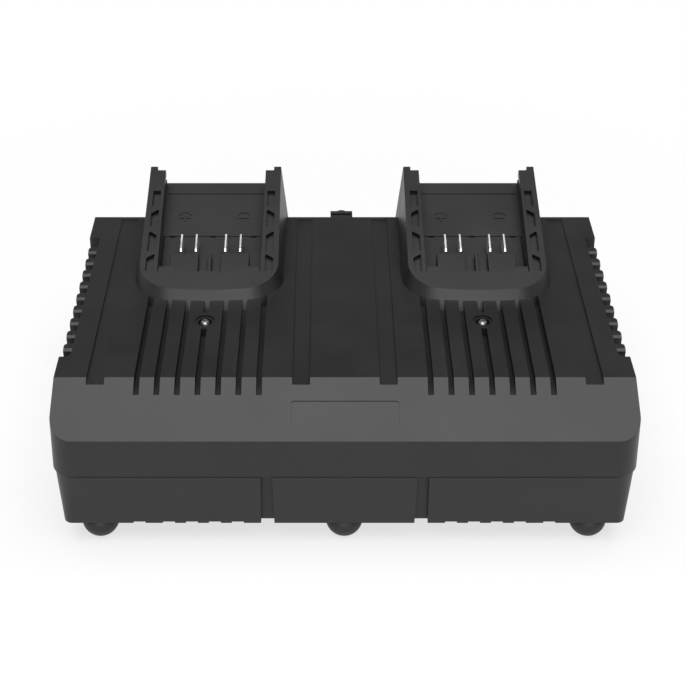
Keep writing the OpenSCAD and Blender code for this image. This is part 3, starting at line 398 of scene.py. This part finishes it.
# Gland nut: a hexagon of moulded nylon behind the rear wall, which draws the gland's
# collar against it.
NUT_EDGE = 0.0005
nylon = moulded_plastic("moulded nylon", "#26262a", "#2e2e32", grain_mm=0.3, rough=0.4,
                        bump=0.2)
nut = softened("gland_nut", "gland_nut_nylon", NUT_EDGE)
nut.data.materials.append(nylon)
settle(nut, "gland_nut")

# Main board: glass-epoxy laminate under a green solder mask. The copper tracks show
# through the mask as paler bands, about a millimetre wide.
TRACK_TILE_MM = 33.8
TRACK_THICK_M = 0.00004
laminate, tree, surface = new_material("glass-epoxy laminate, green solder mask")
place = add(tree, "ShaderNodeTexCoord").outputs["Object"]
tracks = add(tree, "ShaderNodeTexBrick",
             {"offset": 0.37, "squash": 1.6, "squash_frequency": 3}, Vector=place,
             Color1=colour("#0d3f26"), Color2=colour("#0b3721"),
             Mortar=colour("#1d6a42"), Scale=1000 / TRACK_TILE_MM, Mortar__Size=0.013,
             Mortar__Smooth=0.1, Brick__Width=1.7, Row__Height=0.09)
tree.links.new(tracks.outputs["Color"], surface.inputs["Base Color"])
ridge = add(tree, "ShaderNodeBump", Strength=0.4, Distance=TRACK_THICK_M,
            Height=tracks.outputs["Fac"])
tree.links.new(ridge.outputs[0], surface.inputs["Normal"])
surface.inputs["Roughness"].default_value = 0.3
nodes["main_board"].data.materials.clear()
nodes["main_board"].data.materials.append(laminate)

# Transformers: a sintered ferrite core round a nylon bobbin, which is wound with
# enamelled copper wire. Ferrite is dull and dark, with fine pores.
WIRE_R = 0.00055
FLANGE_T = 0.0012
FLANGE_GAP = 0.0003
FLANGE_EDGE = 0.0003
CORE_EDGE = 0.0006
COIL_CORNER = 0.003
ferrite = moulded_plastic("sintered ferrite", "#3a3a3d", "#46464a", grain_mm=0.25,
                          rough=0.62, bump=0.5)
enamel_wire = plain_metal("enamelled copper wire", "#9a5127", rough=0.34, streak_mm=0.6)
tree, size = growth("wound turn", ["Width", "Depth", "Corner", "Wire radius"])
flat = add(tree, "GeometryNodeCurvePrimitiveQuadrilateral", Width=size["Width"],
           Height=size["Depth"])
bent = add(tree, "GeometryNodeFilletCurve", {"mode": "POLY"}, Curve=flat.outputs[0],
           Radius=size["Corner"], Count=6, Limit__Radius=True)
wire = add(tree, "GeometryNodeCurvePrimitiveCircle", Resolution=8,
           Radius=size["Wire radius"])
turn_of_wire = add(tree, "GeometryNodeCurveToMesh", Curve=bent.outputs[0],
                   Profile__Curve=wire.outputs[0])
set_down(tree, size["Places"], turn_of_wire.outputs[0], enamel_wire)
winding = tree


def corners(node):
    """The lowest and highest corner of a CAD node."""
    return [Vector(corner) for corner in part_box(node)]


def turns_between(low, high):
    """Places for turns of wire that lie on each other, up the middle of a box."""
    count = int((high.z - low.z) / (2 * WIRE_R))
    middle = (low + high) / 2
    return [(middle.x, middle.y, low.z + (2 * i + 1) * WIRE_R) for i in range(count)]


def box_mesh(build, low, high):
    """Adds a box to a mesh under construction."""
    size = high - low
    spot = Matrix.Translation((low + high) / 2) @ Matrix.Diagonal((*size, 1))
    bmesh.ops.create_cube(build, size=1, matrix=spot)


def joined(name, parts, material, edge):
    """A piece of several boxes, with its edges rolled over."""
    mesh = bpy.data.meshes.new(name)
    build = bmesh.new()
    for low, high in parts:
        box_mesh(build, Vector(low), Vector(high))
    bmesh.ops.bevel(build, geom=build.edges[:], offset=edge, segments=2, profile=0.5,
                    affect="EDGES", clamp_overlap=True)
    build.to_mesh(mesh)
    build.free()
    mesh.materials.append(material)
    mesh.shade_smooth()
    mesh.set_sharp_from_angle(angle=math.radians(40))
    return in_scene(name, mesh)


for side in ("left", "right"):
    core = softened(side + "_transformer_core", side + "_ferrite_core", CORE_EDGE)
    core.data.materials.append(ferrite)
    settle(core, side + "_transformer_core")
    low, high = corners(side + "_transformer_coil")
    flange = Vector((0, 0, FLANGE_T))
    coil = grown(side + "_copper_winding", winding,
                 turns_between(low + flange, high - flange),
                 {"Width": high.x - low.x - 2.4 * WIRE_R,
                  "Depth": high.y - low.y - 4 * WIRE_R,
                  "Corner": COIL_CORNER, "Wire radius": WIRE_R})
    settle(coil, side + "_transformer_coil")
    core_low, core_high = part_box(side + "_transformer_core")
    flanges = []
    for z in (low.z, high.z - FLANGE_T):
        for front, rear in ((low.y, core_low[1] - FLANGE_GAP),
                            (core_high[1] + FLANGE_GAP, high.y)):
            flanges.append(((low.x, front, z), (high.x, rear, z + FLANGE_T)))
    bobbin = joined(side + "_bobbin_flanges", flanges, nylon, FLANGE_EDGE)
    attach(bobbin, "housing")

# Capacitors: rolled aluminium foil in aluminium cans, under a shrunk sleeve that leaves
# the top bare. A groove rolled in near the foot crimps the rubber bung. Each step up is
# a share of the height, and the scale of the ring that it ends on.
BUNG_WIDE = 0.96
BUNG_HIGH = 0.02
CAN_STEPS = ((0.015, 1.04), (0.045, 1.0), (0.02, 0.94), (0.02, 1.064), (0.84, 1.0),
             (0.02, 0.965), (0.0, 0.86))
sleeve = moulded_plastic("shrunk PVC sleeve", "#1d2532", "#232c3b", grain_mm=1.5,
                         rough=0.32, bump=0.1)
can_top = plain_metal("drawn aluminium can", "#c9cacc", rough=0.35, streak_mm=0.5)
tree, size = growth("electrolytic can", ["Radius", "Height"])
lift = add(tree, "ShaderNodeCombineXYZ", Z=times(tree, size["Height"], BUNG_HIGH / 2))
bung = add(tree, "GeometryNodeMeshCylinder", {"fill_type": "NGON"}, Vertices=40,
           Radius=times(tree, size["Radius"], BUNG_WIDE),
           Depth=times(tree, size["Height"], BUNG_HIGH))
can = add(tree, "GeometryNodeTransform", Geometry=bung.outputs["Mesh"],
          Translation=lift.outputs[0]).outputs[0]
can, crown = raised(tree, can, bung.outputs["Top"], size["Height"], CAN_STEPS)
set_down(tree, size["Places"], can, sleeve, [(crown, can_top)])
for node in ("mains_capacitors", "output_capacitors"):
    boxes = solids_of(node)
    low, high = boxes[0]
    cans = grown(node + "_cans", tree,
                 [((a.x + b.x) / 2, (a.y + b.y) / 2, a.z) for a, b in boxes],
                 {"Radius": (high.x - low.x) / 2, "Height": high.z - low.z})
    settle(cans, node)

# Line choke: a ring core of iron powder, painted, and wound with enamelled copper wire
# that lies in turns side by side round the ring.
CHOKE_TURNS = 26
CHOKE_BARE_SHARE = 0.12
CHOKE_BORE_SHARE = 7 / 15
low, high = corners("line_choke")
centre = (low + high) / 2
ring_out = (high.x - low.x) / 2
ring_in = ring_out * CHOKE_BORE_SHARE
ring_h = high.z - low.z
tree, size = growth("choke core", ["Ring radius", "Ring width", "Ring height"])
path = add(tree, "GeometryNodeCurvePrimitiveCircle", Resolution=64,
           Radius=size["Ring radius"])
section = add(tree, "GeometryNodeCurvePrimitiveQuadrilateral", Width=size["Ring width"],
              Height=size["Ring height"])
eased = add(tree, "GeometryNodeFilletCurve", {"mode": "POLY"}, Curve=section.outputs[0],
            Radius=0.0012, Count=3, Limit__Radius=True)
ring = add(tree, "GeometryNodeCurveToMesh", Curve=path.outputs[0],
           Profile__Curve=eased.outputs[0])
paint = moulded_plastic("painted iron powder", "#8a7a2a", "#94842f", grain_mm=0.4,
                        rough=0.5, bump=0.2)
set_down(tree, size["Places"], ring.outputs[0], paint)
ring_w = ring_out - ring_in - 4 * WIRE_R
core = grown("choke_ring", tree, [centre],
             {"Ring radius": (ring_out + ring_in) / 2, "Ring width": ring_w,
              "Ring height": ring_h - 4 * WIRE_R})
settle(core, "line_choke")
tree, size = growth("choke winding", ["Ring radius", "Loop width", "Loop height",
                                      "Step"])
loop = add(tree, "GeometryNodeCurvePrimitiveQuadrilateral", Width=size["Loop width"],
           Height=size["Loop height"])
bent = add(tree, "GeometryNodeFilletCurve", {"mode": "POLY"}, Curve=loop.outputs[0],
           Radius=0.0016, Count=5, Limit__Radius=True)
wire = add(tree, "GeometryNodeCurvePrimitiveCircle", Resolution=8, Radius=WIRE_R)
tube = add(tree, "GeometryNodeCurveToMesh", Curve=bent.outputs[0],
           Profile__Curve=wire.outputs[0])
out = add(tree, "ShaderNodeCombineXYZ", X=size["Ring radius"])
stood = add(tree, "GeometryNodeTransform", Geometry=tube.outputs[0],
            Translation=out.outputs[0], Rotation=(math.pi / 2, 0, 0))
number = add(tree, "GeometryNodeInputIndex")
spin = add(tree, "ShaderNodeCombineXYZ", Z=times(tree, number.outputs[0], size["Step"]))
set_down(tree, size["Places"], stood.outputs[0], enamel_wire, Rotation=spin.outputs[0])
turns = grown("choke_winding", tree, [centre] * CHOKE_TURNS,
              {"Ring radius": (ring_out + ring_in) / 2,
               "Loop width": ring_w + 2 * WIRE_R,
               "Loop height": ring_h - 2 * WIRE_R,
               "Step": 2 * math.pi * (1 - CHOKE_BARE_SHARE) / CHOKE_TURNS})
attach(turns, "housing")

# Heat sinks: aluminium extrusions, cut to length and left in their mill finish, whose
# fine lines run along the fins.
SINK_EDGE = 0.0002
mill = plain_metal("extruded aluminium, mill finish", "#b4b7ba", rough=0.38,
                   streak_mm=0.5)
for side in ("left", "right"):
    sink = softened(side + "_heat_sink", side + "_heat_sink_fins", SINK_EDGE)
    sink.data.materials.append(mill)
    settle(sink, side + "_heat_sink")

# Mains fuse: a glass tube with pressed caps of nickel-plated brass and a fine wire.
FUSE_CAP = 0.005
FUSE_GLASS_T = 0.0006
GLASS_INSET = 0.0008
GLASS_SHARE = 0.84
CAP_T = 0.0006
CAP_EDGE = 0.0004
CAP_PLAY = 0.0001
FUSE_WIRE_R = 0.00015
FUSE_BEAD_R = 0.0004
FUSE_BEAD_HALF = 0.001
DRAW_MM = 6
glass, tree, surface = new_material("drawn soda-lime glass")
place = add(tree, "ShaderNodeTexCoord").outputs["Object"]
draw = add(tree, "ShaderNodeTexNoise", Vector=place, Scale=1000 / DRAW_MM, Detail=1.0)
haze = ranged(tree, draw.outputs["Fac"], (0.0, 1.0), (0.02, 0.06))
tree.links.new(haze, surface.inputs["Roughness"])
surface.inputs["Base Color"].default_value = colour("#f4f8f6")
surface.inputs["Transmission Weight"].default_value = 1.0
surface.inputs["IOR"].default_value = 1.51
nickel = plain_metal("nickel-plated brass", "#d4d0c6", rough=0.22, streak_mm=0.8)


def turned(name, profiles, start, material, steps=32):
    """Pieces turned about an axis along X: each profile is (distance along, radius)."""
    mesh = bpy.data.meshes.new(name)
    build = bmesh.new()
    for profile in profiles:
        rings = [[build.verts.new(start + Vector((x, r * math.cos(a), r * math.sin(a))))
                  for a in (2 * math.pi * i / steps for i in range(steps))] if r else
                 [build.verts.new(start + Vector((x, 0, 0)))] for x, r in profile]
        closed = profile[0][1] > 0
        for one, two in zip(rings, rings[1:] + rings[:1] if closed else rings[1:]):
            for i in range(steps):
                corners = [one[i % len(one)], one[(i + 1) % len(one)],
                           two[(i + 1) % len(two)], two[i % len(two)]]
                build.faces.new(list(dict.fromkeys(corners)))
    bmesh.ops.recalc_face_normals(build, faces=build.faces)
    build.to_mesh(mesh)
    build.free()
    mesh.materials.append(material)
    mesh.shade_smooth()
    mesh.set_sharp_from_angle(angle=math.radians(35))
    return in_scene(name, mesh)


low, high = corners("mains_fuse")
fuse_l = high.x - low.x
cap_r = (high.z - low.z) / 2
tube_r = cap_r * GLASS_SHARE
axis_start = Vector((low.x, (low.y + high.y) / 2, (low.z + high.z) / 2))
inner_r = tube_r - FUSE_GLASS_T
tube = turned("fuse_tube", [[(GLASS_INSET, tube_r), (fuse_l - GLASS_INSET, tube_r),
                             (fuse_l - GLASS_INSET, inner_r), (GLASS_INSET, inner_r)]],
              axis_start, glass)
settle(tube, "mains_fuse")
caps = turned("fuse_caps",
              [[(end, 0), (end, cap_r - CAP_EDGE), (end + way * CAP_EDGE, cap_r),
                (end + way * (FUSE_CAP - CAP_EDGE), cap_r),
                (end + way * FUSE_CAP, cap_r - CAP_EDGE),
                (end + way * FUSE_CAP, tube_r + CAP_PLAY),
                (end + way * CAP_T, tube_r + CAP_PLAY), (end + way * CAP_T, 0)]
               for end, way in ((0, 1), (fuse_l, -1))], axis_start, nickel)
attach(caps, "housing")
strand = turned("fuse_wire",
                [[(CAP_T, 0), (CAP_T, FUSE_WIRE_R),
                  (fuse_l / 2 - FUSE_BEAD_HALF, FUSE_WIRE_R), (fuse_l / 2, FUSE_BEAD_R),
                  (fuse_l / 2 + FUSE_BEAD_HALF, FUSE_WIRE_R),
                  (fuse_l - CAP_T, FUSE_WIRE_R), (fuse_l - CAP_T, 0)]],
                axis_start, tinned, steps=12)
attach(strand, "housing")

# Dock leads: stranded copper in silicone rubber, stripped and tinned at both ends, with
# a little slack so that the dock can be lifted off.
LEAD_SLACK = 0.006
STRIPPED_SHARE = 0.07
STRAND_SHARE = 0.5
silicone = moulded_plastic("silicone rubber insulation", "#7a1c1a", "#842321",
                           grain_mm=0.6, rough=0.45, bump=0.15)
tree, size = growth("dock lead", ["Height", "Radius", "Slack"])
top = add(tree, "ShaderNodeCombineXYZ", Z=size["Height"])
bow = add(tree, "ShaderNodeCombineXYZ", Y=size["Slack"],
          Z=times(tree, size["Height"], 0.5))
line = add(tree, "GeometryNodeCurveQuadraticBezier", Resolution=20, Start=(0, 0, 0),
           Middle=bow.outputs[0], End=top.outputs[0])
cover = add(tree, "GeometryNodeTrimCurve", _0=line.outputs[0], _2=STRIPPED_SHARE,
            _3=1 - STRIPPED_SHARE)
outer = add(tree, "GeometryNodeCurvePrimitiveCircle", Resolution=14,
            Radius=size["Radius"])
inner = add(tree, "GeometryNodeCurvePrimitiveCircle", Resolution=10,
            Radius=times(tree, size["Radius"], STRAND_SHARE))
skin = add(tree, "GeometryNodeCurveToMesh", Curve=cover.outputs[0],
           Profile__Curve=outer.outputs[0], Fill__Caps=True)
bare = add(tree, "GeometryNodeCurveToMesh", Curve=line.outputs[0],
           Profile__Curve=inner.outputs[0], Fill__Caps=True)
is_bare = add(tree, "GeometryNodeStoreNamedAttribute", {"data_type": "BOOLEAN",
                                                        "domain": "FACE"},
              Geometry=bare.outputs[0], Name="bare", Value=True)
both = add(tree, "GeometryNodeJoinGeometry", _0=[skin.outputs[0], is_bare.outputs[0]])
mark = add(tree, "GeometryNodeInputNamedAttribute", {"data_type": "BOOLEAN"},
           Name="bare")
set_down(tree, size["Places"], both.outputs[0], silicone, [(mark.outputs[0], tinned)])
for side in ("left", "right"):
    boxes = solids_of(side + "_dock_leads")
    low, high = boxes[0]
    leads = grown(side + "_silicone_leads", tree,
                  [((a.x + b.x) / 2, (a.y + b.y) / 2, a.z) for a, b in boxes],
                  {"Height": high.z - low.z, "Radius": (high.x - low.x) / 2,
                   "Slack": LEAD_SLACK})
    settle(leads, side + "_dock_leads")

# Fan: a frame and a rotor of moulded glass-filled polyester, with the stator's wire
# inside. The rotor alone turns.
FAN_EDGE = 0.0002
STATOR_ROUND = 2.05
fan_black = moulded_plastic("glass-filled PBT, moulded", "#1f1f20", "#262627",
                            grain_mm=0.3, rough=0.42, bump=0.2)
for node, name, body in (("fan_frame", "fan_housing", "housing"),
                         ("fan_rotor", "fan_impeller", "fan")):
    shell = softened(node, name, FAN_EDGE)
    shell.data.materials.append(fan_black)
    settle(shell, node, body)
low, high = corners("fan_stator")
middle = (low + high) / 2
stator_w = high.y - low.y - 2 * WIRE_R
across = int((high.x - low.x) / (2 * WIRE_R))
quarter = Matrix.Rotation(math.pi / 2, 4, "Y")
rows = [Vector((low.x + (2 * i + 1) * WIRE_R, middle.y, middle.z))
        for i in range(across)]
stator = grown("stator_winding", winding, [quarter.inverted() @ row for row in rows],
               {"Width": stator_w, "Depth": stator_w, "Corner": stator_w / STATOR_ROUND,
                "Wire radius": WIRE_R}, quarter)
settle(stator, "fan_stator")

# Floor and light: white paper with a low wall far off, under one broad softbox in a dim
# room. Only camera, glossy and transmission rays see the paper glow, at 1 at most. The
# front panel gives no diffuse light, and shows as a reflection on the docks' skirts.
FLOOR_WHITE = "#f5f5f5"
FLOOR_M = 40
WALL_RADIUS_M = 12
WALL_HIGH_M = 3.2
PAPER_NEAR_M = 0.24
PAPER_FAR_M = 0.5
PAPER_NEAR_GLOW = 0.72
DIM_ROOM = 0.052
SOFTBOX_M = 3.0
SOFTBOX_HEIGHT_M = 2.5
SOFTBOX_Y = -0.62
SOFTBOX_WATTS = 101
PANEL_WIDE_M = 2.2
PANEL_TALL_M = 0.7
PANEL_AWAY_M = 2.2
PANEL_RISE = math.radians(27)
PANEL_WATTS = 25
bpy.ops.mesh.primitive_plane_add(size=FLOOR_M)
floor = bpy.context.object
floor.name = "floor"
paper, sheet, surface = new_material("white paper sheet")
surface.inputs["Base Color"].default_value = colour(FLOOR_WHITE)
surface.inputs["Roughness"].default_value = 0.95
surface.inputs["Specular IOR Level"].default_value = 0.0
rays = add(sheet, "ShaderNodeLightPath").outputs
seen = add(sheet, "ShaderNodeMath", {"operation": "MAXIMUM"}, _0=rays["Is Camera Ray"],
           _1=rays["Is Glossy Ray"])
seen = add(sheet, "ShaderNodeMath", {"operation": "MAXIMUM"}, _0=seen.outputs[0],
           _1=rays["Is Transmission Ray"])
place = add(sheet, "ShaderNodeTexCoord").outputs["Object"]
away = add(sheet, "ShaderNodeVectorMath", {"operation": "LENGTH"}, _0=place)
fade = ranged(sheet, away.outputs["Value"], (PAPER_NEAR_M, PAPER_FAR_M),
              (PAPER_NEAR_GLOW, 1.0), {"interpolation_type": "SMOOTHSTEP"})
glow = add(sheet, "ShaderNodeEmission", Strength=1.0)
paper_mix = add(sheet, "ShaderNodeMixShader", Fac=times(sheet, seen.outputs[0], fade),
                _1=surface.outputs[0], _2=glow.outputs[0])
sheet.links.new(paper_mix.outputs[0], sheet.nodes["Material Output"].inputs["Surface"])
floor.data.materials.append(paper)
bpy.ops.mesh.primitive_cylinder_add(vertices=96, radius=WALL_RADIUS_M,
                                    depth=WALL_HIGH_M, end_fill_type="NOTHING",
                                    location=(0, 0, WALL_HIGH_M / 2))
wall = bpy.context.object
wall.name = "low_paper_wall"
wall.data.materials.append(paper)

world = bpy.data.worlds.new("dim studio")
bpy.context.scene.world = world
world.use_nodes = True
background = world.node_tree.nodes["Background"]
background.inputs["Color"].default_value = (1, 1, 1, 1)
background.inputs["Strength"].default_value = DIM_ROOM

lamp = bpy.data.lights.new("softbox", "AREA")
lamp.size = SOFTBOX_M
lamp.energy = SOFTBOX_WATTS
in_scene("softbox", lamp).location = (0, SOFTBOX_Y, SOFTBOX_HEIGHT_M)

lamp = bpy.data.lights.new("front panel", "AREA")
lamp.shape = "RECTANGLE"
lamp.size = PANEL_WIDE_M
lamp.size_y = PANEL_TALL_M
lamp.energy = PANEL_WATTS
panel = in_scene("front panel", lamp)
panel.location = (0, -PANEL_AWAY_M * math.cos(PANEL_RISE),
                  PANEL_AWAY_M * math.sin(PANEL_RISE))
panel.rotation_euler = (math.pi / 2 - PANEL_RISE, 0, 0)
panel.visible_diffuse = False

# Camera: in front of the charger and above it, placed from the front edge of the flat
# top, with the lens shifted sideways as in the photograph.
FRONT_EDGE_Y = -0.0885465
TOP_Z = 0.0883
EYE_X = -0.00965
EYE_AWAY_M = 0.6173
EYE_ABOVE_M = 0.444
EYE_DOWN_DEG = 34.4
LENS_MM = 77.5
LENS_SHIFT = 0.0246
lens = bpy.data.cameras.new("camera")
lens.lens = LENS_MM
lens.sensor_width = 36
lens.shift_x = LENS_SHIFT
eye = in_scene("camera", lens)
eye.location = (EYE_X, FRONT_EDGE_Y - EYE_AWAY_M, TOP_Z + EYE_ABOVE_M)
eye.rotation_euler = (math.radians(90 - EYE_DOWN_DEG), 0, 0)
bpy.context.scene.camera = eye
bpy.context.scene.view_settings.view_transform = "Standard"
